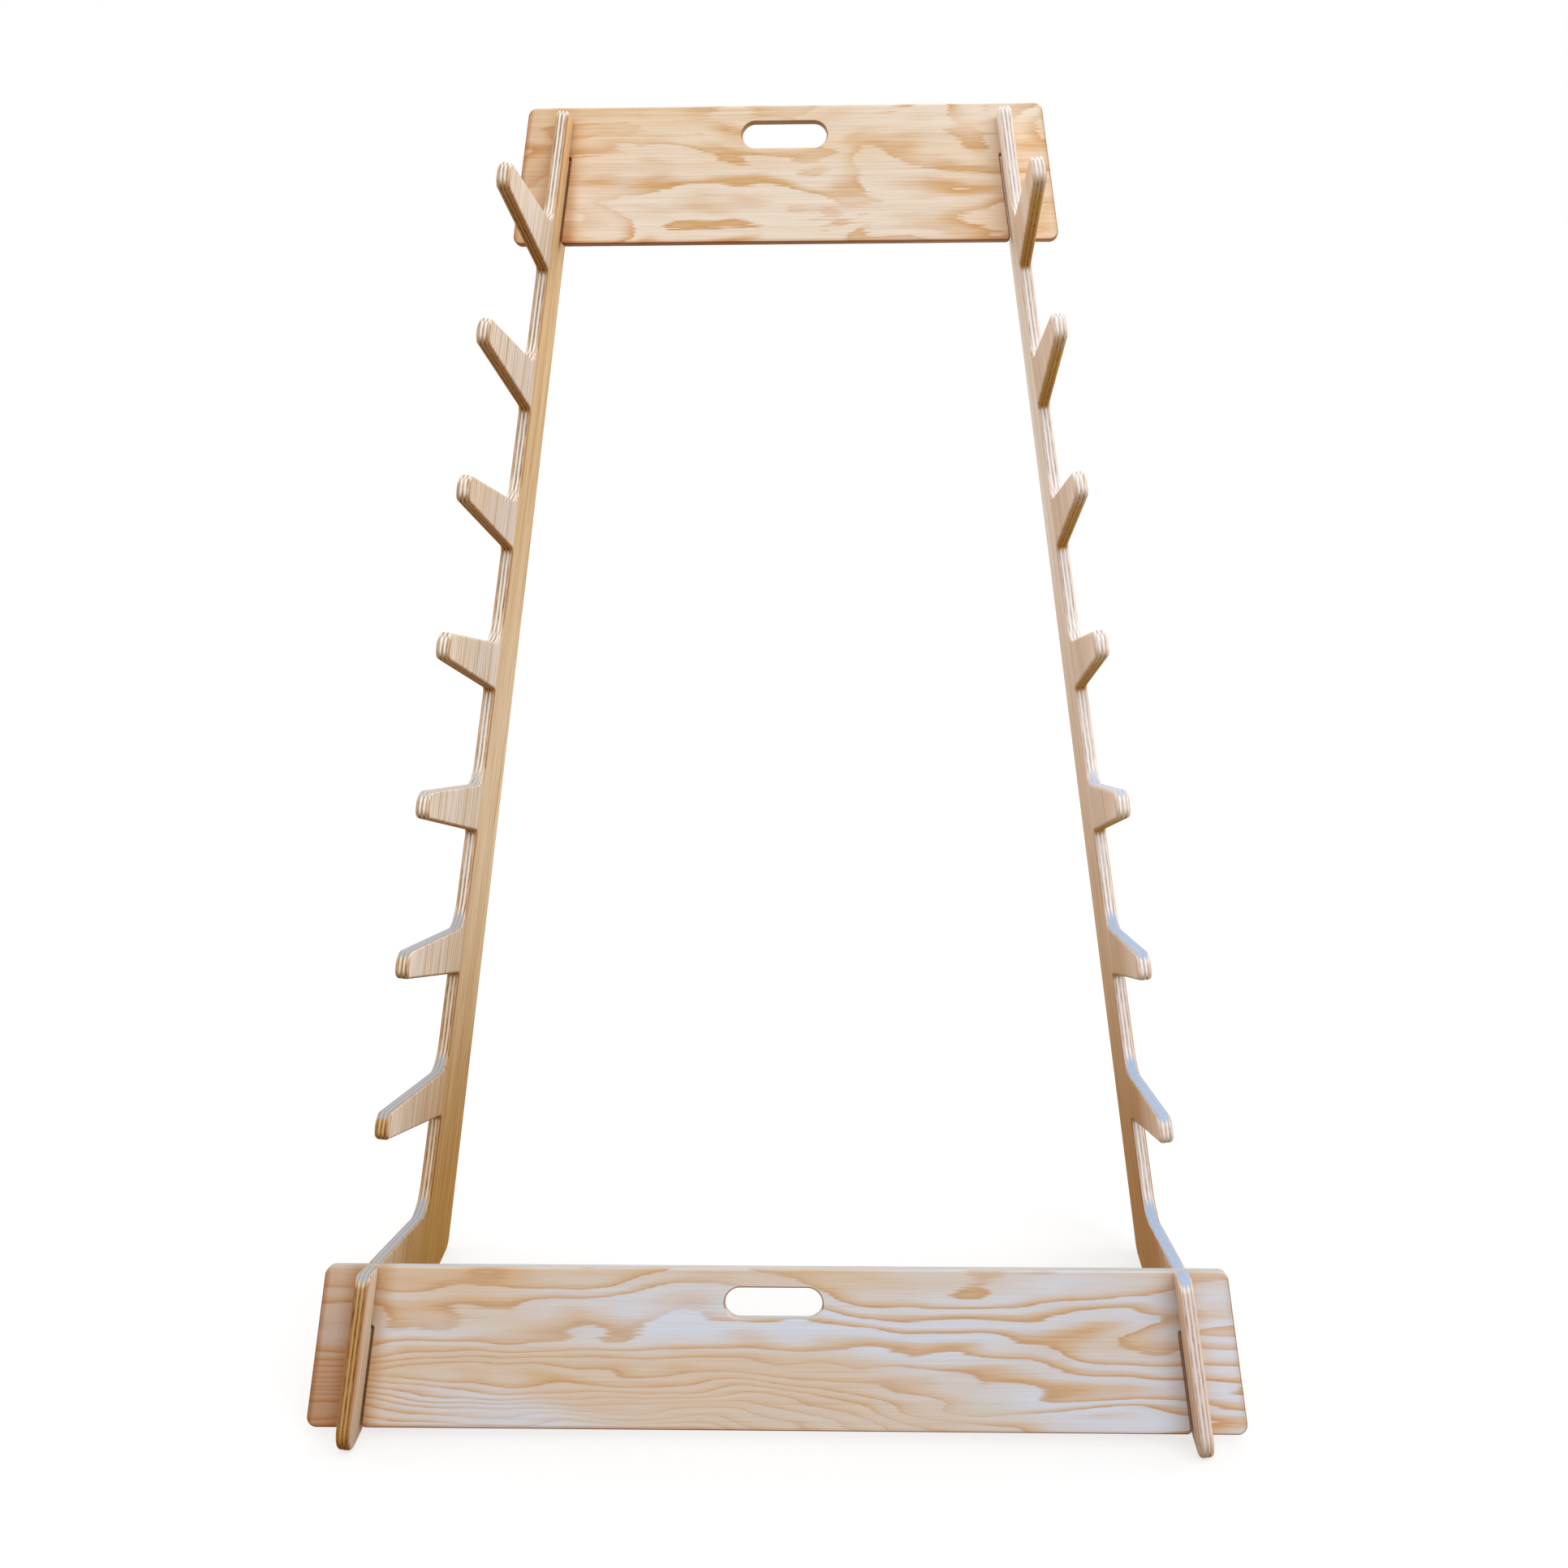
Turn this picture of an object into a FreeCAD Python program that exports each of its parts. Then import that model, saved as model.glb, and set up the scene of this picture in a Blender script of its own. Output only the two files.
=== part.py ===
import FreeCAD, Part
import math
import os
import Sketcher
from FreeCAD import Vector

doc = FreeCAD.newDocument("board_rack")

# Driving sizes in millimetres and degrees. The foot's upper edge is level zero of an upright: the
# fingers are counted up from it and the toe is measured down from it.
sheet = doc.addObject("Spreadsheet::Sheet", "dims")
sizes = [
    ("ply", "18"),                # sheet thickness of all four pieces
    ("lean", "14.4"),             # the rack leans back by this much
    ("slant", "7"),               # each upright leans inwards by this much
    ("half_spread", "505"),       # half distance between the uprights at the foot's upper edge
    ("reach", "350"),             # fingers and foot, from the spine's front edge
    ("head_room", "168"),         # spine above the highest finger
    ("spine_top", "105"),         # depth of the spine at its top
    ("spine_heel", "190"),        # depth of the spine at the heel
    ("toe_height", "233"),        # front of the foot, down to the sole
    ("finger_count", "7"),
    ("finger_pitch", "200"),
    ("finger_root", "66"),        # finger height at the spine
    ("finger_tip", "34"),         # finger height at the tip
    ("root_radius", "36"),        # inside corner between a finger's top and the spine
    ("under_radius", "10"),       # inside corner between a finger's underside and the spine
    ("tip_radius", "15"),
    ("bend_radius", "40"),        # inside corner of foot and spine
    ("prong_radius", "18"),       # upper front corner of the foot
    ("toe_radius", "34"),
    ("heel_radius", "20"),
    ("crown_radius", "15"),       # upper corners of the spine
    ("foot_prong", "50"),         # material in front of the lower notch
    ("foot_notch", "75.5"),
    ("top_prong", "52"),          # material in front of the upper notch
    ("top_notch", "57.4"),
    ("notch_mouth", "6"),         # rounding at the mouth of a notch or slot
    ("mill_radius", "1.5"),       # inside corners left by the cutter
    ("arris", "3"),               # arrises eased all round each upright
    ("board_arris", "2"),         # arrises eased all round each crossboard
    ("board_height", "200"),
    ("board_lap", "73.5"),        # board left above its slots
    ("board_overhang", "49.5"),   # board beyond the outer face of the upright
    ("board_corner", "12"),
    ("grip_width", "122"),
    ("grip_height", "38"),
    ("grip_drop", "43"),          # middle of the hand hole below the board's upper edge
    ("notch_play", "0.6"),        # notch wider than the board
    ("slot_outside", "0.3"),      # slot beyond the upright's outer face
    ("slot_inside", "2"),         # slot beyond the upright's inner face
    ("seat_gap", "0.2"),          # slot end above the notch floor
    ("sole_trim", "1.1"),         # taken off the slanted sole to lie flat
]
for row, (alias, number) in enumerate(sizes, 1):
    sheet.set("A%d" % row, alias)
    sheet.set("B%d" % row, number)
    sheet.setAlias("B%d" % row, alias)
doc.recompute()


def size(alias):
    return float(sheet.get(alias))


# Sole angle and top of an upright in its own plane, and the rack's own frame above the floor
sole = "atan(tan(dims.lean) / cos(dims.slant))"
crown_level = "(dims.finger_count * dims.finger_pitch + dims.head_room)"
rise = ("(dims.toe_height * cos(dims.slant) * cos(dims.lean)"
        " - dims.reach * sin(dims.lean) - dims.sole_trim)")
rear = ("((dims.spine_top - dims.crown_radius) * cos(dims.lean) + dims.crown_radius"
        " + (%s - dims.crown_radius) * cos(dims.slant) * sin(dims.lean))" % crown_level)
toe_drop = "(dims.toe_height - dims.toe_radius * tan(%s) - dims.toe_radius / cos(%s))" % (sole, sole)
front = ("((dims.reach - dims.toe_radius) * cos(dims.lean) + dims.toe_radius"
         " + %s * cos(dims.slant) * sin(dims.lean))" % toe_drop)
setback = "((%s - %s) / 2)" % (front, rear)


def new_sketch(body, role, name):
    sketch = body.newObject("Sketcher::SketchObject", name)
    plane = [feature for feature in body.Origin.OriginFeatures if feature.Role == role][0]
    sketch.AttachmentSupport = (plane, [""])
    sketch.MapMode = "FlatFace"
    return sketch


def draw(sketch, corners):
    count = len(corners)
    first = sketch.GeometryCount
    for i in range(count):
        start = Vector(corners[i][0], corners[i][1], 0)
        end = Vector(corners[(i + 1) % count][0], corners[(i + 1) % count][1], 0)
        sketch.addGeometry(Part.LineSegment(start, end))
    for i in range(count):
        sketch.addConstraint(Sketcher.Constraint("Coincident", first + i, 2, first + (i + 1) % count, 1))
    return [first + i for i in range(count)]


def square_up(sketch, level, upright):
    for line in level:
        sketch.addConstraint(Sketcher.Constraint("Horizontal", line))
    for line in upright:
        sketch.addConstraint(Sketcher.Constraint("Vertical", line))


def bind(sketch, name, formula, kind, *ends):
    if kind == "Angle":
        line = sketch.Geometry[ends[0]]
        span = line.EndPoint - line.StartPoint
        value = math.atan2(span.y, span.x)
    elif kind == "Radius":
        value = sketch.Geometry[ends[0]].Radius
    else:
        span = sketch.getPoint(ends[2], ends[3]) - sketch.getPoint(ends[0], ends[1])
        value = span.x if kind == "DistanceX" else span.y
    index = sketch.addConstraint(Sketcher.Constraint(kind, *ends, value))
    sketch.renameConstraint(index, name)
    sketch.setExpression("Constraints." + name, formula)


def through(body, kind, sketch, name, depth):
    feature = body.newObject("PartDesign::" + kind, name)
    feature.Profile = sketch
    feature.SideType = "Symmetric"
    feature.setExpression("Length", depth)
    doc.recompute()
    return feature


def dress(body, kind, name, picked, formula):
    base = body.Tip
    names = ["Edge%d" % i for i, edge in enumerate(base.Shape.Edges, 1) if picked(edge)]
    feature = body.newObject("PartDesign::" + kind, name)
    feature.Base = (base, names)
    feature.setExpression("Radius" if kind == "Fillet" else "Size", formula)
    doc.recompute()


def round_edges(body, name, picked, radius):
    dress(body, "Fillet", name, picked, radius)


def upright(name, side):
    body = doc.addObject("PartDesign::Body", name + "_plate")
    reach = size("reach")
    pitch = size("finger_pitch")
    crown = size("finger_count") * pitch + size("head_room")

    # Spine and foot in one outline, seen from the side with the front at negative Y
    blank = new_sketch(body, "YZ_Plane", name + "_blank")
    heel_drop = size("toe_height") - (reach + size("spine_heel")) * math.tan(math.radians(size("lean")))
    sole_line, back, head, face, step, toe = draw(blank, [
        (-reach, -size("toe_height")), (size("spine_heel"), -heel_drop), (size("spine_top"), crown),
        (0, crown), (0, 0), (-reach, 0)])
    square_up(blank, [head, step], [face, toe])
    blank.addConstraint(Sketcher.Constraint("Coincident", step, 1, -1, 1))
    bind(blank, "reach", "dims.reach", "DistanceX", step, 2, -1, 1)
    bind(blank, "rise", crown_level, "DistanceY", -1, 1, head, 2)
    bind(blank, "top_depth", "dims.spine_top", "DistanceX", head, 2, head, 1)
    bind(blank, "heel_depth", "dims.spine_heel", "DistanceX", -1, 1, back, 1)
    bind(blank, "toe", "dims.toe_height", "DistanceY", sole_line, 1, step, 2)
    bind(blank, "sole", sole, "Angle", sole_line)
    through(body, "Pad", blank, name + "_spine", "dims.ply")

    # One tapered finger, level on top, repeated up the spine
    comb = new_sketch(body, "YZ_Plane", name + "_finger_outline")
    bury = size("spine_top") / 2
    low = pitch - size("finger_root")
    top, tip, under, root, end = draw(comb, [
        (bury, pitch), (-reach, pitch), (-reach, pitch - size("finger_tip")), (0, low), (bury, low)])
    square_up(comb, [top, root], [tip, end])
    comb.addConstraint(Sketcher.Constraint("PointOnObject", root, 1, -2))
    bind(comb, "level", "dims.finger_pitch", "DistanceY", -1, 1, top, 1)
    bind(comb, "reach", "dims.reach", "DistanceX", top, 2, -1, 1)
    bind(comb, "tip", "dims.finger_tip", "DistanceY", tip, 2, tip, 1)
    bind(comb, "root", "dims.finger_root", "DistanceY", root, 2, top, 1)
    bind(comb, "buried", "dims.spine_top / 2", "DistanceX", -1, 1, top, 1)
    finger = through(body, "Pad", comb, name + "_finger", "dims.ply")
    fingers = body.newObject("PartDesign::LinearPattern", name + "_fingers")
    fingers.Originals = [finger]
    fingers.Direction = (comb, ["V_Axis"])
    fingers.setExpression("Length", "(dims.finger_count - 1) * dims.finger_pitch")
    fingers.setExpression("Occurrences", "dims.finger_count")
    body.Tip = fingers
    doc.recompute()

    # Upward notches for the two crossboards
    width = size("ply") + size("notch_play")
    notch = new_sketch(body, "YZ_Plane", name + "_notches")
    fore = -reach + size("foot_prong")
    aft = size("top_prong")
    clear = size("notch_mouth")
    floor, rear_wall, lid, front_wall = draw(notch, [
        (fore, -size("foot_notch")), (fore + width, -size("foot_notch")),
        (fore + width, clear), (fore, clear)])
    square_up(notch, [floor, lid], [rear_wall, front_wall])
    bind(notch, "foot_prong", "dims.reach - dims.foot_prong", "DistanceX", floor, 1, -1, 1)
    bind(notch, "foot_width", "dims.ply + dims.notch_play", "DistanceX", floor, 1, floor, 2)
    bind(notch, "foot_depth", "dims.foot_notch", "DistanceY", floor, 1, -1, 1)
    bind(notch, "foot_clear", "dims.notch_mouth", "DistanceY", -1, 1, lid, 1)
    floor, rear_wall, lid, front_wall = draw(notch, [
        (aft, crown - size("top_notch")), (aft + width, crown - size("top_notch")),
        (aft + width, crown + clear), (aft, crown + clear)])
    square_up(notch, [floor, lid], [rear_wall, front_wall])
    bind(notch, "top_prong", "dims.top_prong", "DistanceX", -1, 1, floor, 1)
    bind(notch, "top_width", "dims.ply + dims.notch_play", "DistanceX", floor, 1, floor, 2)
    bind(notch, "top_floor", crown_level + " - dims.top_notch", "DistanceY", -1, 1, floor, 1)
    bind(notch, "top_clear", crown_level + " + dims.notch_mouth", "DistanceY", -1, 1, lid, 1)
    through(body, "Pocket", notch, name + "_notch", "2 * dims.ply")

    def corner(*spots):
        def picked(edge):
            middle = edge.CenterOfMass
            near = [math.dist((middle.y, middle.z), spot) < 0.1 for spot in spots]
            return abs(middle.x) < 0.01 and any(near)
        return picked

    def outer(edge):
        box = edge.BoundBox
        return abs(abs(box.XMin) - size("ply") / 2) < 0.001 and box.XLength < 0.001

    levels = [pitch * (i + 1) for i in range(int(size("finger_count")))]
    sole_tan = math.tan(math.radians(size("lean"))) / math.cos(math.radians(size("slant")))
    heel = (size("spine_heel"), -size("toe_height") + (reach + size("spine_heel")) * sole_tan)
    tips = [(-reach, z) for z in levels] + [(-reach, z - size("finger_tip")) for z in levels]
    roots = [(0, z) for z in levels]
    unders = [(0, z - size("finger_root")) for z in levels]
    floors = [(fore, -size("foot_notch")), (fore + width, -size("foot_notch")),
              (aft, crown - size("top_notch")), (aft + width, crown - size("top_notch"))]
    mouths = [(fore, 0), (fore + width, 0), (aft, crown), (aft + width, crown)]
    round_edges(body, name + "_tips", corner(*tips), "dims.tip_radius")
    round_edges(body, name + "_roots", corner(*roots), "dims.root_radius")
    round_edges(body, name + "_unders", corner(*unders), "dims.under_radius")
    round_edges(body, name + "_bend", corner((0, 0)), "dims.bend_radius")
    round_edges(body, name + "_prong", corner((-reach, 0)), "dims.prong_radius")
    round_edges(body, name + "_toe", corner((-reach, -size("toe_height"))), "dims.toe_radius")
    round_edges(body, name + "_heel", corner(heel), "dims.heel_radius")
    round_edges(body, name + "_crown", corner((0, crown), (size("spine_top"), crown)), "dims.crown_radius")
    round_edges(body, name + "_mouths", corner(*mouths), "dims.notch_mouth")
    round_edges(body, name + "_floors", corner(*floors), "dims.mill_radius")
    dress(body, "Chamfer", name + "_arrises", outer, "dims.arris")

    # Slanted inwards, leaned back and trimmed level along the sole
    body.setExpression("Placement", "placement(vector(%d * dims.half_spread; %s; %s);"
                       " rotationx(-dims.lean) * rotationy(%d * dims.slant))" % (side, setback, rise, -side))
    floor_block = doc.addObject("Part::Box", name + "_floor")
    floor_block.setExpression("Length", "4 * dims.half_spread")
    floor_block.setExpression("Width", "8 * dims.reach")
    floor_block.setExpression("Height", "dims.toe_height")
    floor_block.setExpression("Placement.Base.x", "-2 * dims.half_spread")
    floor_block.setExpression("Placement.Base.y", "-4 * dims.reach")
    floor_block.setExpression("Placement.Base.z", "-dims.toe_height")
    piece = doc.addObject("Part::Cut", name)
    piece.Base = body
    piece.Tool = floor_block
    piece.Label = name
    doc.recompute()
    return piece


def crossboard(name, seat, seat_level, middle):
    # Local level zero is the closed end of the slots, where the board sits on the uprights
    body = doc.addObject("PartDesign::Body", name)
    body.Label = name
    angle = math.radians(size("slant"))
    lap = size("board_lap")
    low = lap - size("board_height")
    seat_half = size("half_spread") - seat_level * math.sin(angle)
    shoulder = size("ply") / 2 / math.cos(angle) + size("board_overhang")
    upper = seat_half - lap * math.tan(angle) + shoulder
    lower = upper + size("board_height") * math.tan(angle)
    seat_x = "(dims.half_spread - %s * sin(dims.slant))" % seat

    # Board with both ends parallel to the uprights
    blank = new_sketch(body, "XZ_Plane", name + "_blank")
    bottom, right, top, left = draw(blank, [(-lower, low), (lower, low), (upper, lap), (-upper, lap)])
    blank.addConstraint(Sketcher.Constraint("Symmetric", bottom, 1, bottom, 2, -2))
    blank.addConstraint(Sketcher.Constraint("Symmetric", top, 1, top, 2, -2))
    bind(blank, "lap", "dims.board_lap", "DistanceY", -1, 1, top, 1)
    bind(blank, "height", "dims.board_height", "DistanceY", right, 1, right, 2)
    bind(blank, "half_length", seat_x + " - dims.board_lap * tan(dims.slant)"
         " + dims.ply / 2 / cos(dims.slant) + dims.board_overhang", "DistanceX", -1, 1, top, 1)
    bind(blank, "end_slant", "(90 + dims.slant) * 1deg", "Angle", right)
    through(body, "Pad", blank, name + "_board", "dims.ply")

    # Hand hole with round ends
    grip = new_sketch(body, "XZ_Plane", name + "_grip_outline")
    radius = size("grip_height") / 2
    reach = size("grip_width") / 2 - radius
    level = lap - size("grip_drop")
    up = Vector(0, 0, 1)
    for x, turn in ((-reach, 90), (reach, -90)):
        circle = Part.Circle(Vector(x, level, 0), up, radius)
        grip.addGeometry(Part.ArcOfCircle(circle, math.radians(turn), math.radians(turn + 180)))
    grip.addGeometry(Part.LineSegment(Vector(-reach, level + radius, 0), Vector(reach, level + radius, 0)))
    grip.addGeometry(Part.LineSegment(Vector(reach, level - radius, 0), Vector(-reach, level - radius, 0)))
    for joint in ((0, 1, 2, 1), (2, 2, 1, 2), (1, 1, 3, 1), (3, 2, 0, 2)):
        grip.addConstraint(Sketcher.Constraint("Tangent", *joint))
    grip.addConstraint(Sketcher.Constraint("Symmetric", 0, 3, 1, 3, -2))
    grip.addConstraint(Sketcher.Constraint("Equal", 0, 1))
    bind(grip, "end_radius", "dims.grip_height / 2", "Radius", 1)
    bind(grip, "half_width", "(dims.grip_width - dims.grip_height) / 2", "DistanceX", -1, 1, 1, 3)
    bind(grip, "level", "dims.board_lap - dims.grip_drop", "DistanceY", -1, 1, 1, 3)
    through(body, "Pocket", grip, name + "_grip", "2 * dims.ply")

    # Downward slots, each drawn square in a frame turned to its upright
    half = size("ply") / 2
    for side, word in ((-1, "left"), (1, "right")):
        slot = new_sketch(body, "XZ_Plane", "%s_%s_slot_outline" % (name, word))
        slot.setExpression("AttachmentOffset", "placement(vector(%d * %s; 0; 0);"
                           " rotationz(%d * dims.slant))" % (side, seat_x, side))
        away = side * (half + size("slot_outside"))
        inner = -side * (half + size("slot_inside"))
        lowest = -size("board_height")
        closed, inside, mouth, outside = draw(slot, [
            (away, size("seat_gap")), (inner, size("seat_gap")), (inner, lowest), (away, lowest)])
        square_up(slot, [closed, mouth], [inside, outside])
        bind(slot, "seat", "dims.seat_gap", "DistanceY", -1, 1, closed, 1)
        bind(slot, "depth", "dims.board_height", "DistanceY", mouth, 1, -1, 1)
        ends = [(-1, 1, closed, 1), (closed, 2, -1, 1)]
        if side < 0:
            ends = [end[2:] + end[:2] for end in ends]
        bind(slot, "outside", "dims.ply / 2 + dims.slot_outside", "DistanceX", *ends[0])
        bind(slot, "inside", "dims.ply / 2 + dims.slot_inside", "DistanceX", *ends[1])
        through(body, "Pocket", slot, "%s_%s_slot" % (name, word), "2 * dims.ply")

    def across(edge):
        box = edge.BoundBox
        return box.YLength > size("ply") - 0.01 and box.XLength < 0.001

    def corner(edge):
        middle = edge.CenterOfMass
        high = abs(middle.z - lap) < 0.01
        return across(edge) and (high or abs(middle.z - low) < 0.01 and abs(middle.x) > lower - 1)

    def mouth_edge(edge):
        middle = edge.CenterOfMass
        inward = abs(middle.x) < lower - size("board_overhang") / 2
        return across(edge) and abs(middle.z - low) < 0.01 and inward

    def slot_end(edge):
        return across(edge) and abs(edge.CenterOfMass.z) < half

    def outer(edge):
        box = edge.BoundBox
        return abs(abs(box.YMin) - half) < 0.001 and box.YLength < 0.001

    round_edges(body, name + "_corners", corner, "dims.board_corner")
    round_edges(body, name + "_mouths", mouth_edge, "dims.notch_mouth")
    round_edges(body, name + "_slot_ends", slot_end, "dims.mill_radius")
    dress(body, "Chamfer", name + "_arrises", outer, "dims.board_arris")
    seat_rise = "%s * cos(dims.slant)" % seat
    body.setExpression("Placement", "placement(vector(0; %s + %s * cos(dims.lean) + %s * sin(dims.lean);"
                       " %s - %s * sin(dims.lean) + %s * cos(dims.lean)); rotationx(-dims.lean))"
                       % (setback, middle, seat_rise, rise, middle, seat_rise))
    doc.recompute()
    return body


pieces = [
    upright("left_upright", -1),
    upright("right_upright", 1),
    crossboard("top_crossboard", "(%s - dims.top_notch)" % crown_level,
               size("finger_count") * size("finger_pitch") + size("head_room") - size("top_notch"),
               "(dims.top_prong + (dims.ply + dims.notch_play) / 2)"),
    crossboard("bottom_crossboard", "(-dims.foot_notch)", -size("foot_notch"),
               "(dims.foot_prong - dims.reach + (dims.ply + dims.notch_play) / 2)"),
]
doc.recompute()

for item in doc.Objects:
    if "Invalid" in item.State or "Error" in item.State:
        raise RuntimeError("%s failed: %s" % (item.Label, item.State))
for piece in pieces:
    if piece.Shape.isNull() or not piece.Shape.isValid() or len(piece.Shape.Solids) != 1:
        raise RuntimeError("%s is not one sound solid" % piece.Label)

os.makedirs("parts", exist_ok=True)
for piece in pieces:
    piece.Shape.exportStep("parts/%s.step" % piece.Label)
    box = piece.Shape.BoundBox
    print(piece.Label, "%.1f x %.1f x %.1f mm" % (box.XLength, box.YLength, box.ZLength))
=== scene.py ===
import math

import bmesh
import bpy
from mathutils import Matrix, Vector


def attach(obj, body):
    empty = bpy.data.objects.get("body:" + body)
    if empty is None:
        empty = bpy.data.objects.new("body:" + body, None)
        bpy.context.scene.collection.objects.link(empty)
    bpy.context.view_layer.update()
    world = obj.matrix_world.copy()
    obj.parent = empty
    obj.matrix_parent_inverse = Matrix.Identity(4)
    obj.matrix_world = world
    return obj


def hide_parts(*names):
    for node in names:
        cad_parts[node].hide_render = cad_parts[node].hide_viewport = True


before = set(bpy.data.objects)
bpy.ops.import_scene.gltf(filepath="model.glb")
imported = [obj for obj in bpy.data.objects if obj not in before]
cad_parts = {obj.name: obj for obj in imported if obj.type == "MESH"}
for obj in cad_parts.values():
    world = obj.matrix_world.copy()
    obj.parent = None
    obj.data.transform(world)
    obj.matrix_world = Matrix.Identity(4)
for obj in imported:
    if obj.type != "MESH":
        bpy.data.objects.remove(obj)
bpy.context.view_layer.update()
scene = bpy.context.scene
scene.view_settings.view_transform = "Standard"
print("frame loaded:", sorted(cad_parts))


class Wire:
    # one socket of a node tree, so that shader maths reads as plain sums
    def __init__(self, tree, socket):
        self.tree = tree
        self.socket = socket

    def add(self, kind, settings=None, inputs=None, output=0):
        # any node: its settings first, then the values or links of its sockets
        node = self.tree.nodes.new(kind)
        for name, value in (settings or {}).items():
            setattr(node, name, value)
        for name, value in (inputs or {}).items():
            if isinstance(value, Wire):
                self.tree.links.new(value.socket, node.inputs[name])
            else:
                node.inputs[name].default_value = value
        return Wire(self.tree, node.outputs[output])

    def math(self, operation, first, second=0.0):
        return self.add("ShaderNodeMath", {"operation": operation}, {0: first, 1: second})

    def __add__(self, other):
        return self.math("ADD", self, other)

    def __radd__(self, other):
        return self.math("ADD", other, self)

    def __sub__(self, other):
        return self.math("SUBTRACT", self, other)

    def __rsub__(self, other):
        return self.math("SUBTRACT", other, self)

    def __mul__(self, other):
        return self.math("MULTIPLY", self, other)

    def __rmul__(self, other):
        return self.math("MULTIPLY", other, self)

    def __mod__(self, other):
        return self.math("FLOORED_MODULO", self, other)

    def __abs__(self):
        return self.math("ABSOLUTE", self)

    def rise(self, low, high, bottom=0.0, top=1.0):
        # eased step from low to high
        return self.add("ShaderNodeMapRange", {"interpolation_type": "SMOOTHSTEP"},
                        {"Value": self, "From Min": low, "From Max": high, "To Min": bottom, "To Max": top})

    def noise(self, place, detail=2.0, roughness=0.5, distortion=0.0):
        return self.add("ShaderNodeTexNoise", {"noise_dimensions": "3D"},
                        {"Vector": place, "Scale": 1.0, "Detail": detail, "Roughness": roughness,
                         "Distortion": distortion})

    def place(self, x, y, z):
        return self.add("ShaderNodeCombineXYZ", None, {"X": x, "Y": y, "Z": z})

    def blend(self, low, high, way="MIX"):
        # colour mix with this value as the factor
        return self.add("ShaderNodeMix", {"data_type": "RGBA", "blend_type": way},
                        {0: self, 6: low, 7: high}, output=2)


def srgb(red, green, blue):
    # a colour as a picture holds it, made linear
    parts = []
    for value in (red, green, blue):
        value = value / 255.0
        parts.append(value / 12.92 if value <= 0.04045 else ((value + 0.055) / 1.055) ** 2.4)
    return (parts[0], parts[1], parts[2], 1.0)


def newMaterial(name):
    material = bpy.data.materials.new(name)
    material.use_nodes = True
    tree = material.node_tree
    shader = tree.nodes["Principled BSDF"]
    return material, tree, shader


lean = math.radians(14.4)  # the rack leans back
slant = math.radians(7.0)  # the uprights lean towards each other
sheetThickness = 0.018
plyCount = 7
boardHalf = 0.1  # half the height of a crossboard


def plateAxes(kind):
    # along the face grain, across it, through the sheet
    back = Matrix.Rotation(-lean, 3, "X")
    if kind == "board":
        return back @ Vector((1, 0, 0)), back @ Vector((0, 0, 1)), back @ Vector((0, -1, 0))
    turned = back @ Matrix.Rotation(slant if kind == "left" else -slant, 3, "Y")
    return turned @ Vector((0, 0, 1)), turned @ Vector((0, -1, 0)), turned @ Vector((1, 0, 0))


arrisWork = {
    "weld": 2e-5,
    "flatAngle": math.radians(0.4),
    "chamferLow": 0.55,  # tilt of a chamfer, between that of the edge and that of the face
    "chamferHigh": 0.85,
    "edgeTilt": 0.1,
    "faceTilt": 0.99,
    "segments": 3,
    "normalWeight": 60,
}


def isArris(edge, through):
    # a line between a chamfer and the face or the edge beside it
    if len(edge.link_faces) != 2:
        return False
    least, most = sorted(abs(face.normal.dot(through)) for face in edge.link_faces)
    besideFace = arrisWork["chamferLow"] < least < arrisWork["chamferHigh"] and most > arrisWork["faceTilt"]
    besideEdge = arrisWork["chamferLow"] < most < arrisWork["chamferHigh"] and least < arrisWork["edgeTilt"]
    return besideFace or besideEdge


def roundedPlate(name, node, axes, look):
    # welded copy of the sheet with its chamfered arris worked to a soft round
    mesh = bpy.data.meshes.new(name)
    shape = bmesh.new()
    shape.from_mesh(node.data)
    shape.transform(node.matrix_world)
    bmesh.ops.remove_doubles(shape, verts=shape.verts, dist=arrisWork["weld"])
    bmesh.ops.dissolve_limit(shape, angle_limit=arrisWork["flatAngle"], use_dissolve_boundaries=False,
                             verts=shape.verts, edges=shape.edges, delimit=set())
    shape.normal_update()
    soft = [edge for edge in shape.edges if isArris(edge, axes[2])]
    bmesh.ops.bevel(shape, geom=soft, offset=look["arrisStep"], offset_type="OFFSET", affect="EDGES",
                    segments=arrisWork["segments"], profile=0.5, material=-1)
    for face in shape.faces:
        face.smooth = True
    shape.to_mesh(mesh)
    shape.free()
    plate = bpy.data.objects.new(name, mesh)
    scene.collection.objects.link(plate)
    evenNormals = plate.modifiers.new("evenNormals", "WEIGHTED_NORMAL")
    evenNormals.mode = "FACE_AREA"
    evenNormals.weight = arrisWork["normalWeight"]
    evenNormals.keep_sharp = True
    return plate


def plateCentre(mesh, axes):
    centre = Vector((0, 0, 0))
    for axis in axes:
        reach = [vertex.co.dot(axis) for vertex in mesh.vertices]
        centre += axis * (min(reach) + max(reach)) / 2
    return centre


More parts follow.
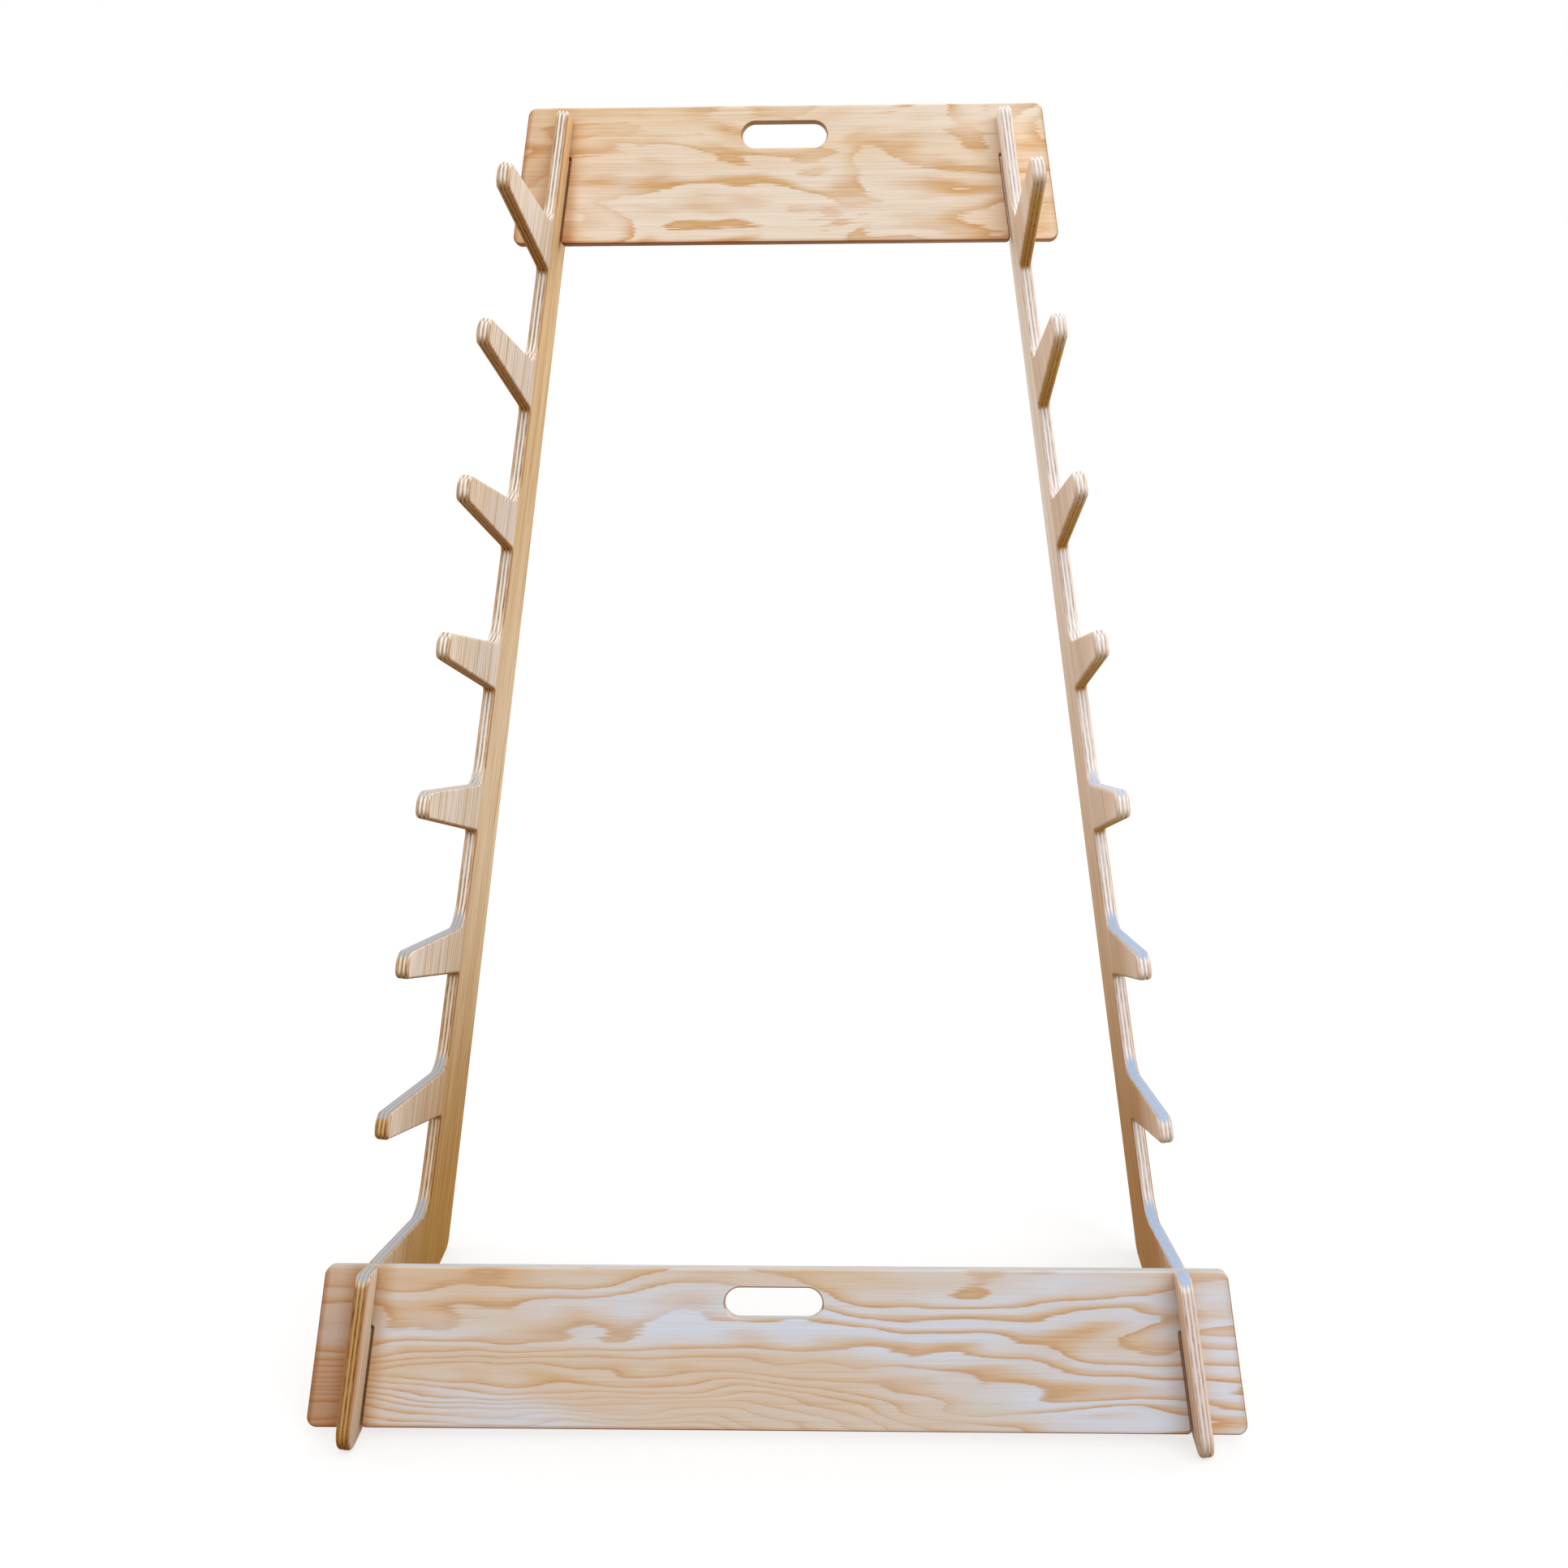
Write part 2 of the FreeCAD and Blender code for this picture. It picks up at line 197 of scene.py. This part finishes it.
# finish that all four plates share: noise scales are per metre, depths are from the middle of the sheet
grain = {
    "veneerSplit": 0.004,  # one face veneer gives way to the other here
    "featherAlong": 16.0,
    "featherAcross": 420.0,
    "weightAlong": 3.1,
    "weightAcross": 15.0,
    "toneAlong": 1.9,
    "toneAcross": 8.0,
    "streakAlong": 1.3,
    "fibreAlong": 7.0,
    "fleckAlong": 60.0,
    "fleckAcross": 1300.0,
    "lateFull": 0.88,  # profile of a growth band, as shares of its width
    "lateDrop": 0.91,
    "lateGone": 0.99,
    "crispFrom": 0.74,
    "crispFull": 0.90,
    "crispGone": 0.98,
    "wander": 0.0007,  # how far the plies run off true
    "wanderPitch": 9.0,
    "wanderThrough": 60.0,
    "pitPitch": 45.0,
    "pitThrough": 1300.0,
    "linePitch": 12.0,
    "lineThrough": 2600.0,
    "glueShow": 0.4,
    "underFrom": 0.10,  # upward tilt of undersides, which take painted shade, and of the top edges, which take painted sky light
    "underFull": -0.65,
    "topFrom": 0.5,
    "topFull": 0.9,
    "edgeEnd": 0.0068,
    "faceStart": 0.0076,
    # depths of the painted arris shade band
    "arrisStart": 0.0058,
    "arrisFull": 0.0072,
    "arrisFade": 0.0085,
    "arrisEnd": 0.00895,
    "roughLess": 0.05,
    "roughMore": 0.07,
    "edgeRough": 0.06,
    "fibreRelief": 0.6,
    "bandRelief": 0.3,
    "pitRelief": 1.2,
    "bumpStrength": 0.3,
    "bumpDepth": 0.0006,
}


def sheetPlace(start, axes, centre):
    # along the grain, across it and through the sheet, from the middle of the plate
    turned = Matrix(axes).transposed().to_euler()
    spot = start.add("ShaderNodeTexCoord", None, None, output="Object")
    local = start.add("ShaderNodeMapping", {"vector_type": "TEXTURE"},
                      {"Vector": spot, "Location": centre, "Rotation": turned})
    return [start.add("ShaderNodeSeparateXYZ", None, {0: local}, output=part) for part in range(3)]


def uprightToneAndFootShade(along, across, tone, colour, look):
    # golden along the spine, pale out on the fingers, and painted shade in olive brown towards the foot
    spine = (across + tone * 0.02).rise(look["spineFrom"], look["spineTo"], look["spineStrength"], 0.0)
    gold = along.rise(look["goldFrom"], look["goldTo"]).blend(look["spineGold"], look["crownGold"])
    colour = spine.blend(colour, gold)
    lifted = along + across.rise(-0.08, -0.03, 0.0, look["fingerLift"])
    foot = lifted.rise(look["footFrom"], look["footTo"])
    foot = foot * across.rise(0.0, 0.27, look["footRoot"], look["footTip"])
    return foot.blend(colour, look["footShadeColour"])


def faceVeneer(start, along, across, depth, look):
    # every noise has an offset of its own, and the two faces of a sheet differ
    seed = look["seed"] + depth.rise(-grain["veneerSplit"], grain["veneerSplit"], 0.0, look["backShift"])

    def grainAt(alongScale, acrossScale, offset):
        return start.place(along * alongScale, across * acrossScale, seed + offset)

    # growth bands: pale early wood deepening to a crisp late edge
    feather = start.noise(grainAt(grain["featherAlong"], grain["featherAcross"], 3.1), 2.0, 0.6)
    swell = start.noise(grainAt(look["swellAlong"], look["swellAcross"], 7.7),
                        look["swellDetail"], 0.5, look["swellTwist"])
    ripple = start.noise(grainAt(look["rippleAlong"], look["rippleAcross"], 9.4), 1.0)
    bands = across * look["bandSlope"] + along * look["bandDrift"] + swell * look["bandSwing"]
    crowd = along.rise(0.40, -0.15) * across.rise(0.025, -0.025)  # close rings low on the left
    bands = bands + crowd * across * look["crowdSlope"]
    bands = bands + (ripple - 0.5) * (crowd * look["crowdRipple"] + look["bandRipple"])
    bands = bands + (feather - 0.5) * look["bandFeather"]
    saw = bands % 1.0
    late = saw.rise(look["bandStart"], grain["lateFull"])
    late = late * (1.0 - saw.rise(grain["lateDrop"], grain["lateGone"]))
    crisp = saw.rise(grain["crispFrom"], grain["crispFull"])
    crisp = crisp * (1.0 - saw.rise(grain["lateDrop"], grain["crispGone"]))
    weight = start.noise(grainAt(grain["weightAlong"], grain["weightAcross"], 12.3), 1.0)
    weight = weight.rise(0.36, 0.60, look["bandLeast"], 1.0)

    # slow changes of tone over the sheet, then streaks, fibres and short dark flecks along the grain
    tone = start.noise(grainAt(grain["toneAlong"], grain["toneAcross"], 20.9), 2.0)
    cloud = tone - along * look["cloudDrift"] + crowd * look["crowdWarm"]
    cloud = cloud + across.rise(0.06, boardHalf, 0.0, look["topWarm"])
    colour = cloud.rise(look["cloudFrom"], look["cloudTo"]).blend(look["pale"], look["paleWarm"])
    if look["isUpright"]:
        colour = uprightToneAndFootShade(along, across, tone, colour, look)
    colour = (late * weight * look["bandStrength"]).blend(colour, look["tan"], look["bandWay"])
    colour = (crisp * weight * look["crispStrength"]).blend(colour, look["crisp"], look["bandWay"])
    streak = start.noise(grainAt(grain["streakAlong"], look["streakAcross"], 5.5), 3.0, 0.6)
    dark = streak.rise(0.50, 0.68, 0.0, look["streakStrength"])
    colour = dark.blend(colour, look["streak"], "MULTIPLY")
    light = streak.rise(0.30, 0.48, look["streakStrength"], 0.0)
    colour = light.blend(colour, look["streakPale"], "MULTIPLY")
    fibre = start.noise(start.place(along * grain["fibreAlong"], across * look["fibreAcross"], seed), 3.0, 0.6)
    dark = fibre.rise(0.46, 0.68, 0.0, look["fibreStrength"])
    colour = dark.blend(colour, look["fibre"], "MULTIPLY")
    light = fibre.rise(0.30, 0.50, look["fibreStrength"], 0.0)
    colour = light.blend(colour, look["fibrePale"], "MULTIPLY")
    fleck = start.noise(grainAt(grain["fleckAlong"], grain["fleckAcross"], 31.0), 1.0)
    fleck = fleck.rise(0.66, 0.78, 0.0, look["fleckStrength"])
    return fleck.blend(colour, look["fleck"], "MULTIPLY"), fibre, late


def sheetEdge(start, along, across, depth, normal, upward, axes, look):
    # plies turn by turn: long grain pale and smooth, end grain darker and pitted
    endOn = abs(start.add("ShaderNodeVectorMath", {"operation": "DOT_PRODUCT"},
                          {0: normal, 1: axes[0]}, output="Value")).rise(0.45, 0.8)

    def edgeAt(pitch, through):
        return start.place(along * pitch, across * pitch, depth * through)

    wander = (start.noise(edgeAt(grain["wanderPitch"], grain["wanderThrough"]), 1.0) - 0.5) * grain["wander"]
    layer = (depth + wander + sheetThickness / 2) * (plyCount / sheetThickness)
    pair = layer % 2.0
    cross = pair.rise(0.92, 1.08) - pair.rise(1.92, 2.0)
    endGrain = cross + endOn - 2.0 * cross * endOn
    pit = start.noise(edgeAt(grain["pitPitch"], grain["pitThrough"]), 3.0, 0.65)
    line = start.noise(edgeAt(grain["linePitch"], grain["lineThrough"]), 2.0, 0.6)
    longColour = line.rise(0.3, 0.7).blend(look["edgePale"], look["edgePaleDeep"])
    endShadowColour = pit.rise(0.34, 0.64).blend(look["edgeDark"], look["edgeDarkPale"])
    colour = endGrain.blend(longColour, endShadowColour)

    # painted shade on the undersides, which starts softly at the finger tips
    underShadeTone = across.rise(look["underShadeRoot"], look["underShadeEnd"]).blend(look["underShadeColour"], look["underShadeTip"])
    underShade = upward.rise(grain["underFrom"], grain["underFull"])
    underShade = underShade * across.rise(look["underShadeEdge"], look["underShadeIn"], look["underShadeStart"], look["underShadeStrength"])
    colour = underShade.blend(colour, underShadeTone, "MULTIPLY")
    if look["isUpright"]:
        # painted shade on the edges towards the toe and over the low fingers
        toe = along.rise(look["toeFrom"], look["toeTo"]) * (1.0 - upward.rise(0.2, 0.6))
        colour = (toe * look["toeShade"]).blend(colour, look["toeShadeColour"], "MULTIPLY")
        tip = across.rise(look["tipFrom"], look["tipTo"])  # the low fingers have browner tips in the painted shade, the toe has not
        tip = tip * along.rise(look["tipAbove"], look["tipClear"])
        low = along.rise(look["lowFrom"], look["lowTo"]) * (tip * look["tipMore"] + 1.0)
        colour = (low * look["footShade"]).blend(colour, look["toeShadeColour"], "MULTIPLY")

    # painted sky light on the top edges, then the glue lines
    skyLit = upward.rise(grain["topFrom"], grain["topFull"])
    skyLit = skyLit * along.rise(look["paintedSkyFrom"], look["paintedSkyTo"], 0.0, look["paintedSky"])
    colour = skyLit.blend(colour, look["paintedSkyColour"])
    colour = (skyLit * cross).blend(colour, look["paintedSkyLine"], "MULTIPLY")
    glue = abs((layer % 1.0) - 0.5).rise(0.42, 0.5)
    colour = (glue * grain["glueShow"]).blend(colour, look["glue"])
    return colour, pit * endGrain


def boardShadeAndRim(start, along, across, colour, look):
    # painted shadow outside the left upright, a darker rim along the ends and the lower edge, and painted
    # shade where the uprights cross
    outside = along.rise(look["endFrom"] + look["endSoft"], look["endFrom"], 0.0, look["endShadow"])
    outside = outside * across.rise(-boardHalf, boardHalf, look["endLow"], look["endHigh"])
    colour = outside.blend(colour, look["endShadowColour"], "MULTIPLY")
    # darker rim along the ends and the lower edge, stronger towards the left
    leftward = along.rise(look["leftwardFrom"], look["leftwardTo"], look["leftwardLeast"], 1.0)
    end = look["endReach"] - across * math.tan(slant) - abs(along)
    rim = start.math("MINIMUM", end, across + boardHalf)
    rim = rim.rise(look["rimInner"], look["rimOuter"], 0.0, look["rimDark"]) * leftward
    colour = rim.blend(colour, look["rim"], "MULTIPLY")
    # painted shade with a warm bounce tint on the board beside each upright
    joint = abs(abs(along) + across * math.tan(slant) - look["jointAt"])
    joint = joint.rise(look["jointWide"], look["jointCore"], 0.0, look["jointDark"]) * leftward
    return joint.blend(colour, look["joint"], "MULTIPLY")


def plywood(name, axes, centre, look):
    material, tree, shader = newMaterial(name)
    start = Wire(tree, None)
    along, across, depth = sheetPlace(start, axes, centre)
    normal = start.add("ShaderNodeTexCoord", None, None, output="Normal")
    upward = start.add("ShaderNodeSeparateXYZ", None, {0: normal}, output=2)
    colour, fibre, late = faceVeneer(start, along, across, depth, look)
    edgeColour, pitted = sheetEdge(start, along, across, depth, normal, upward, axes, look)

    fromMiddle = abs(depth)
    onEdge = 1.0 - fromMiddle.rise(grain["edgeEnd"], grain["faceStart"])
    colour = onEdge.blend(colour, edgeColour)
    arris = fromMiddle.rise(grain["arrisStart"], grain["arrisFull"])
    arris = arris * (1.0 - fromMiddle.rise(grain["arrisFade"], grain["arrisEnd"]))
    arris = arris * (1.0 - upward.rise(0.25, 0.6))  # painted shade on the lower arrises; upper arrises stay pale
    colour = (arris * look["arrisShade"]).blend(colour, look["arris"], "MULTIPLY")
    if not look["isUpright"]:
        colour = boardShadeAndRim(start, along, across, colour, look)
    tree.links.new(colour.socket, shader.inputs["Base Color"])

    smooth = look["roughness"] - grain["roughLess"]
    coarse = look["roughness"] + grain["roughMore"]
    rough = fibre.rise(0.3, 0.7, smooth, coarse) + onEdge * grain["edgeRough"]
    tree.links.new(rough.socket, shader.inputs["Roughness"])
    relief = fibre * grain["fibreRelief"] + late * (1.0 - onEdge) * grain["bandRelief"]
    relief = relief + pitted * onEdge * grain["pitRelief"]
    bump = start.add("ShaderNodeBump", None,
                     {"Height": relief, "Strength": grain["bumpStrength"], "Distance": grain["bumpDepth"]})
    tree.links.new(bump.socket, shader.inputs["Normal"])
    shader.inputs["Specular IOR Level"].default_value = look["gloss"]
    return material


# what the plates share, before their own colours
sheetLook = {
    "isUpright": False,
    "edgePale": srgb(255, 249, 238),
    "edgePaleDeep": srgb(242, 226, 206),
    "edgeDark": srgb(132, 101, 78),
    "edgeDarkPale": srgb(221, 202, 184),
    "glue": srgb(110, 78, 54),
    # painted sky light on the top edges
    "paintedSky": 0.8,
    "paintedSkyFrom": 10.0,  # far beyond the sheet, so all of a board's top edge is pale
    "paintedSkyTo": 9.0,
    "paintedSkyColour": srgb(192, 201, 206),
    "paintedSkyLine": srgb(206, 204, 202),
    # painted shade on the undersides of the fingers
    "underShadeStrength": 0.95,
    "underShadeStart": 0.75,
    "underShadeEdge": 0.265,  # places across the sheet
    "underShadeIn": 0.19,
    "underShadeRoot": -0.06,
    "underShadeEnd": 0.24,
    "underShadeColour": srgb(200, 148, 58),
    "underShadeTip": srgb(210, 162, 82),
    # colour of the painted shade on the arrises
    "arris": srgb(200, 158, 108),
    "streakPale": (1.10, 1.09, 1.06, 1.0),
    "fibrePale": (1.08, 1.07, 1.05, 1.0),
    "fibreAcross": 700.0,
    "crowdSlope": 0.0,
    "crowdWarm": 0.0,
    "crowdRipple": 0.0,
    "topWarm": 0.0,
    "gloss": 0.25,
}

uprightLook = dict(sheetLook, **{
    "isUpright": True, "arrisStep": 0.0013, "backShift": 5.0, "roughness": 0.62, "gloss": 0.06,
    "paintedSkyFrom": 0.2, "paintedSkyTo": -0.3,  # the painted sky light on top edges fades off towards the foot
    "spineFrom": -0.076, "spineTo": -0.056, "spineStrength": 0.9,
    # painted shade towards the foot
    "footFrom": -0.02, "footTo": -0.72, "footRoot": 0.94, "footTip": 0.32,
    # painted shade on the edges near the toe
    "toeFrom": -0.60, "toeTo": -0.74, "toeShadeColour": srgb(208, 173, 106),
    "tipFrom": 0.12, "tipTo": 0.26, "tipAbove": -0.70, "tipClear": -0.60, "tipMore": 0.7,
    "lowFrom": -0.1, "lowTo": -0.5,
    "cloudFrom": 0.38, "cloudTo": 0.66, "cloudDrift": 0.0,
    "bandWay": "MULTIPLY", "tan": srgb(228, 200, 160), "crisp": srgb(206, 168, 128),
    "bandSlope": 70.0, "bandDrift": 0.0, "bandSwing": 5.0, "bandFeather": 0.35, "bandStart": 0.2,
    "bandLeast": 0.25, "bandStrength": 0.62, "crispStrength": 0.45,
    "swellAlong": 0.7, "swellAcross": 8.0, "swellDetail": 1.5, "swellTwist": 0.1,
    "rippleAlong": 9.0, "rippleAcross": 11.0, "bandRipple": 0.3,
    "streak": srgb(204, 170, 126), "streakAcross": 80.0, "streakStrength": 0.5,
    "fibre": srgb(206, 178, 146), "fibreAcross": 330.0,
    "fleck": srgb(170, 130, 96), "fleckStrength": 0.5,
})

leftUprightLook = dict(uprightLook, **{
    "seed": 2.0,
    "pale": srgb(243, 236, 230), "paleWarm": srgb(238, 225, 208),
    "spineGold": srgb(239, 218, 186), "crownGold": srgb(235, 202, 150), "goldFrom": -0.1, "goldTo": 0.6,
    # painted shade towards the foot, on faces and edges, strongest on this upright
    "footShadeColour": srgb(180, 136, 46), "fingerLift": 0.06, "footShade": 0.55, "toeShade": 0.9,
    "fibre": srgb(196, 164, 126), "fibreStrength": 0.6,
    # painted shade on the arrises, and painted sky light on the top edges
    "arrisShade": 0.75, "paintedSkyColour": srgb(178, 184, 192),
})

# the paler upright, with less painted shade towards the foot and on its arrises, and a cooler painted sky
# light on its top edges
rightUprightLook = dict(uprightLook, **{
    "seed": 9.0,
    "pale": srgb(240, 221, 206), "paleWarm": srgb(236, 211, 190),
    "spineGold": srgb(226, 199, 172), "crownGold": srgb(254, 246, 238), "goldFrom": -0.25, "goldTo": 0.45,
    "footShadeColour": srgb(176, 123, 36), "fingerLift": -0.06, "footShade": 0.15,
    "toeShade": 0.35, "toeShadeColour": srgb(204, 180, 166),
    "bandStrength": 0.45, "crispStrength": 0.35, "streakStrength": 0.4, "fibreStrength": 0.45,
    "edgePale": srgb(255, 253, 252), "edgePaleDeep": srgb(250, 240, 232),
    "edgeDark": srgb(176, 154, 146), "edgeDarkPale": srgb(244, 232, 228), "glue": srgb(140, 112, 96),
    "underShadeColour": srgb(212, 160, 60), "underShadeTip": srgb(236, 196, 100), "underShadeStart": 0.45,
    "arrisShade": 0.2, "paintedSkyColour": srgb(162, 189, 222), "paintedSkyLine": srgb(230, 232, 234),
})

boardLook = dict(sheetLook, **{
    "arrisStep": 0.0008, "bandWay": "MIX", "swellDetail": 2.0, "streakAcross": 170.0,
    "bandLeast": 0.3, "bandStrength": 0.95,
    # painted shade on the board arrises
    "arris": srgb(186, 138, 88), "arrisShade": 0.85,
    "rim": srgb(214, 170, 114), "rimDark": 0.6, "rimInner": 0.007, "rimOuter": 0.002,
    "joint": srgb(222, 186, 130), "jointWide": 0.040, "jointCore": 0.010,
    "leftwardFrom": 0.25, "leftwardTo": -0.25, "leftwardLeast": 0.3,  # rim and painted joint shade stronger on the left
    "endSoft": 0.02, "endLow": 1.2, "endHigh": 0.55,
})

topBoardLook = dict(boardLook, **{
    "seed": 4.0, "backShift": 6.0, "roughness": 0.5,
    "pale": srgb(237, 223, 208), "paleWarm": srgb(232, 208, 178),
    "cloudFrom": 0.38, "cloudTo": 0.66, "cloudDrift": 0.0,
    "tan": srgb(212, 168, 112), "crisp": srgb(202, 154, 98), "crispStrength": 0.25,
    "bandSlope": -9.0, "bandDrift": 1.2, "bandSwing": 5.0, "bandFeather": 0.6, "bandStart": 0.25,
    "swellAlong": 4.2, "swellAcross": 12.0, "swellTwist": 0.5,
    "rippleAlong": 9.0, "rippleAcross": 24.0, "bandRipple": 1.2,
    "streak": srgb(238, 216, 186), "streakStrength": 0.3,
    "fibre": srgb(226, 202, 172), "fibreStrength": 0.4,
    "fleck": srgb(206, 172, 134), "fleckStrength": 0.4,
    # painted shadow of the left upright on the left end, and painted shade beside the uprights
    "endShadow": 0.6, "endFrom": -0.315, "endShadowColour": srgb(218, 190, 156), "endReach": 0.3811,
    "jointAt": 0.3242, "jointDark": 0.35,
})

bottomBoardLook = dict(boardLook, **{
    "seed": 6.0, "backShift": 3.0, "roughness": 0.48,
    # a cooler, bluer pale tone than the top board: painted cool sky light
    "pale": srgb(211, 217, 231), "paleWarm": srgb(212, 194, 176),
    "cloudFrom": 0.46, "cloudTo": 0.68, "cloudDrift": 0.05, "topWarm": 0.12,
    "crowdSlope": -90.0, "crowdWarm": 0.2, "crowdRipple": 2.2,
    "tan": srgb(208, 174, 136), "crisp": srgb(178, 132, 94), "crispStrength": 0.38,
    "bandSlope": -26.0, "bandDrift": -1.0, "bandSwing": 8.0, "bandFeather": 0.3, "bandStart": 0.26,
    "swellAlong": 1.5, "swellAcross": 10.0, "swellTwist": 0.3,
    "rippleAlong": 7.0, "rippleAcross": 22.0, "bandRipple": 1.8,
    "streak": srgb(240, 224, 206), "streakStrength": 0.2,
    "fibre": srgb(232, 214, 196), "fibreStrength": 0.3,
    "fleck": srgb(206, 172, 140), "fleckStrength": 0.3,
    # painted shadow of the left upright on the left end, and painted shade beside the uprights
    "endShadow": 0.8, "endFrom": -0.525, "endShadowColour": srgb(210, 175, 142), "endReach": 0.5744,
    "jointAt": 0.5175, "jointDark": 0.7,
})

plates = [
    ("left_upright", "left", "left", "upright_plywood", leftUprightLook),
    ("right_upright", "right", "right", "upright_plywood", rightUprightLook),
    ("top_crossboard", "board", "crossboards", "crossboard_plywood", topBoardLook),
    ("bottom_crossboard", "board", "crossboards", "crossboard_plywood", bottomBoardLook),
]

for nodeName, kind, body, slotName, look in plates:
    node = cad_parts[nodeName]
    axes = plateAxes(kind)
    plate = roundedPlate(nodeName + "_plywood", node, axes, look)
    centre = plateCentre(plate.data, axes)
    material = plywood(nodeName + "_veneer", axes, centre, look)
    plate.data.materials.append(material)
    node.data.materials.clear()
    node.data.materials.append(material)
    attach(plate, body)
    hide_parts(nodeName)
    print("plate:", nodeName, len(plate.data.polygons), "faces, centre", [round(v, 4) for v in centre])


studio = {
    "floorReach": 60.0,
    "floorBounce": (0.25, 0.19, 0.12, 1.0),  # the warm ground that lights the rack from below
    "floorShade": 0.34,  # share of the seen floor that takes shadows
    "floorLift": 0.66,
    "skyColour": (0.93, 0.965, 1.0, 1.0),
    "skyStrength": 0.55,
    "white": (1.0, 1.0, 1.0, 1.0),
    "lampDistance": 4.0,
}

lampSetup = {
    "frontSun": {"from": (0.22, -0.72, 0.66), "spread": 60.0, "strength": 1.7, "colour": (1.0, 0.985, 0.96)},
    "rightSun": {"from": (0.96, 0.14, 0.24), "spread": 40.0, "strength": 1.52, "colour": (1.0, 0.98, 0.95)},
    "leftSun": {"from": (-0.96, 0.14, 0.24), "spread": 40.0, "strength": 1.32, "colour": (1.0, 0.98, 0.95)},
    "rearSun": {"from": (0.0, 0.9, 0.43), "spread": 60.0, "strength": 1.0, "colour": (1.0, 0.98, 0.95)},
}


def seenRay(start):
    # camera, glossy and transmission rays meet the plain white set
    cameraRay = start.add("ShaderNodeLightPath", None, None, output="Is Camera Ray")
    glossyRay = start.add("ShaderNodeLightPath", None, None, output="Is Glossy Ray")
    clearRay = start.add("ShaderNodeLightPath", None, None, output="Is Transmission Ray")
    return start.math("MAXIMUM", start.math("MAXIMUM", cameraRay, glossyRay), clearRay)


def makeFloor():
    mesh = bpy.data.meshes.new("studioFloor")
    shape = bmesh.new()
    bmesh.ops.create_grid(shape, x_segments=1, y_segments=1, size=studio["floorReach"])
    shape.to_mesh(mesh)
    shape.free()
    floor = bpy.data.objects.new("studioFloor", mesh)
    scene.collection.objects.link(floor)
    material, tree, shader = newMaterial("studioFloorWhite")
    start = Wire(tree, None)
    shader.inputs["Base Color"].default_value = studio["floorBounce"]
    shader.inputs["Roughness"].default_value = 1.0
    shade = studio["floorShade"]
    matt = start.add("ShaderNodeBsdfDiffuse", None, {"Color": (shade, shade, shade, 1.0)})
    lift = start.add("ShaderNodeEmission", None, {"Color": studio["white"], "Strength": studio["floorLift"]})
    shown = start.add("ShaderNodeAddShader", None, {0: matt, 1: lift})
    whole = start.add("ShaderNodeMixShader", None,
                      {0: seenRay(start), 1: Wire(tree, shader.outputs[0]), 2: shown})
    tree.links.new(whole.socket, tree.nodes["Material Output"].inputs["Surface"])
    mesh.materials.append(material)


def makeSky():
    world = bpy.data.worlds.new("studioSky")
    world.use_nodes = True
    scene.world = world
    tree = world.node_tree
    start = Wire(tree, None)
    light = tree.nodes["Background"]
    light.inputs["Color"].default_value = studio["skyColour"]
    light.inputs["Strength"].default_value = studio["skyStrength"]
    white = start.add("ShaderNodeBackground", None, {"Color": studio["white"], "Strength": 1.0})
    whole = start.add("ShaderNodeMixShader", None,
                      {0: seenRay(start), 1: Wire(tree, light.outputs[0]), 2: white})
    tree.links.new(whole.socket, tree.nodes["World Output"].inputs["Surface"])


def makeSun(name, setup):
    data = bpy.data.lights.new(name, "SUN")
    data.angle = math.radians(setup["spread"])
    data.energy = setup["strength"]
    data.color = setup["colour"]
    lamp = bpy.data.objects.new(name, data)
    lamp.location = Vector(setup["from"]) * studio["lampDistance"]
    lamp.rotation_euler = Vector(setup["from"]).to_track_quat("Z", "Y").to_euler()
    scene.collection.objects.link(lamp)


makeFloor()
makeSky()
for name, setup in lampSetup.items():
    makeSun(name, setup)
print("studio set")

viewSetup = {
    "place": (0.1397, -2.8035, 1.5396),
    "turn": (78.258, 0.599, 1.818),
    "lens": 49.377,
    "sensor": 36.0,
    "shift": (-0.0176, -0.1),
}
cameraData = bpy.data.cameras.new("viewCamera")
cameraData.sensor_fit = "HORIZONTAL"
cameraData.sensor_width = viewSetup["sensor"]
cameraData.lens = viewSetup["lens"]
cameraData.shift_x = viewSetup["shift"][0]
cameraData.shift_y = viewSetup["shift"][1]
camera = bpy.data.objects.new("viewCamera", cameraData)
camera.location = viewSetup["place"]
camera.rotation_euler = [math.radians(angle) for angle in viewSetup["turn"]]
scene.collection.objects.link(camera)
scene.camera = camera
print("camera set")
